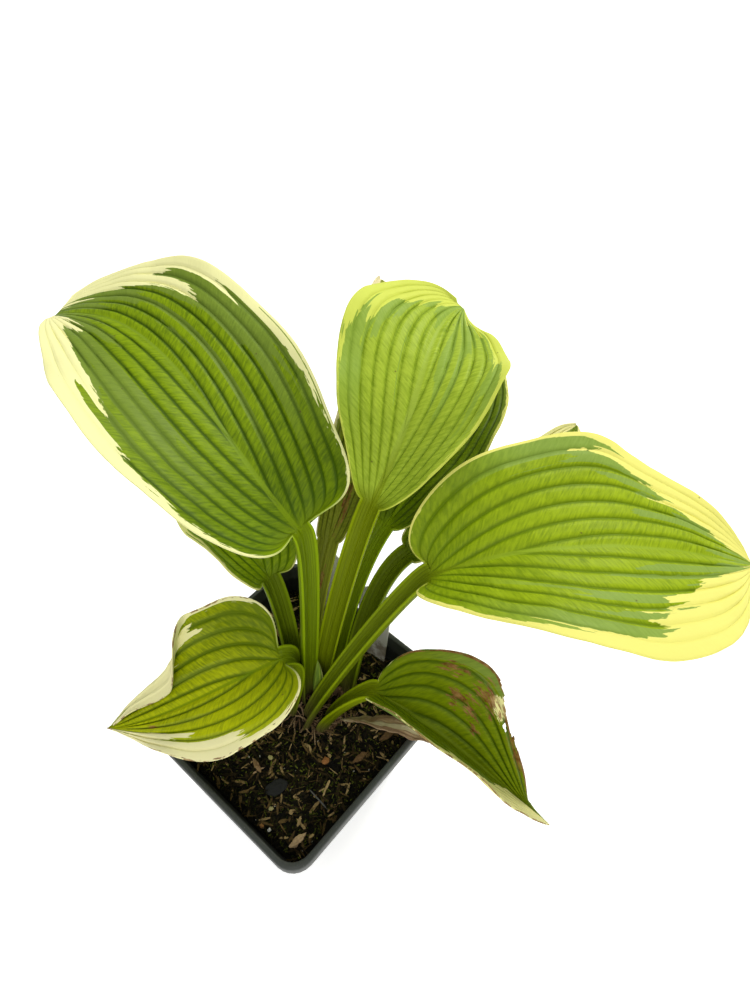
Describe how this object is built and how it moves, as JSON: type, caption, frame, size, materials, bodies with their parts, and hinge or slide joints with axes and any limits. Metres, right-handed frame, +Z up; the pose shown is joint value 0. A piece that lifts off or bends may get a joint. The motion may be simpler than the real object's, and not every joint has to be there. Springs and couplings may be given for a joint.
{
  "type": "potted hosta plant",
  "caption": "Variegated hosta with broad ribbed leaves on grooved stalks, growing from bark potting mix in a square black nursery pot with plain labels.",
  "frame": {"origin": "centre of the pot's flat base, on the surface that it stands on", "axes": "+Z up; X and Y along the sides of the square pot; the largest leaf reaches towards -X"},
  "size_m": [0.3149, 0.2557, 0.2499],
  "materials": {
    "pot_plastic": "satin black moulded plastic, slightly scuffed",
    "potting_mix": "damp dark peat and bark mix",
    "crown": "fibrous plant crown",
    "leaf": "living ribbed leaf, green with a cream margin, soft sheen",
    "shoot": "young rolled leaf, yellow green",
    "dry_stalk": "dry cut stalk, tan brown",
    "withered_leaf": "dry brittle leaf, grey brown",
    "label_plastic": "plain off-white plastic, a little dirty",
    "bark": "rough bark chip",
    "stone": "matt pebble",
    "perlite": "white porous grain"
  },
  "bodies": {
    "root": {"nursery_pot": "pot_plastic", "potting_mix": "potting_mix", "crown": "crown", "leaf_left_large": "leaf", "leaf_centre_large": "leaf", "leaf_right_large": "leaf", "leaf_front_left": "leaf", "leaf_front_right": "leaf", "leaf_rear_left": "leaf", "leaf_rear_centre": "leaf", "leaf_rear_right": "leaf", "leaf_rear_far_right": "leaf", "new_shoot": "shoot", "old_stalk_stub": "dry_stalk", "withered_leaf": "withered_leaf", "plant_label_rear": "label_plastic", "plant_label_right": "label_plastic", "bark_chip_front": "bark", "bark_chip_left": "bark", "bark_chip_right": "bark", "bark_chip_rear": "bark", "bark_chip_corner": "bark", "pebble_grey": "stone", "pebble_tan": "stone", "perlite_grain_large": "perlite"}
  },
  "joints": []
}
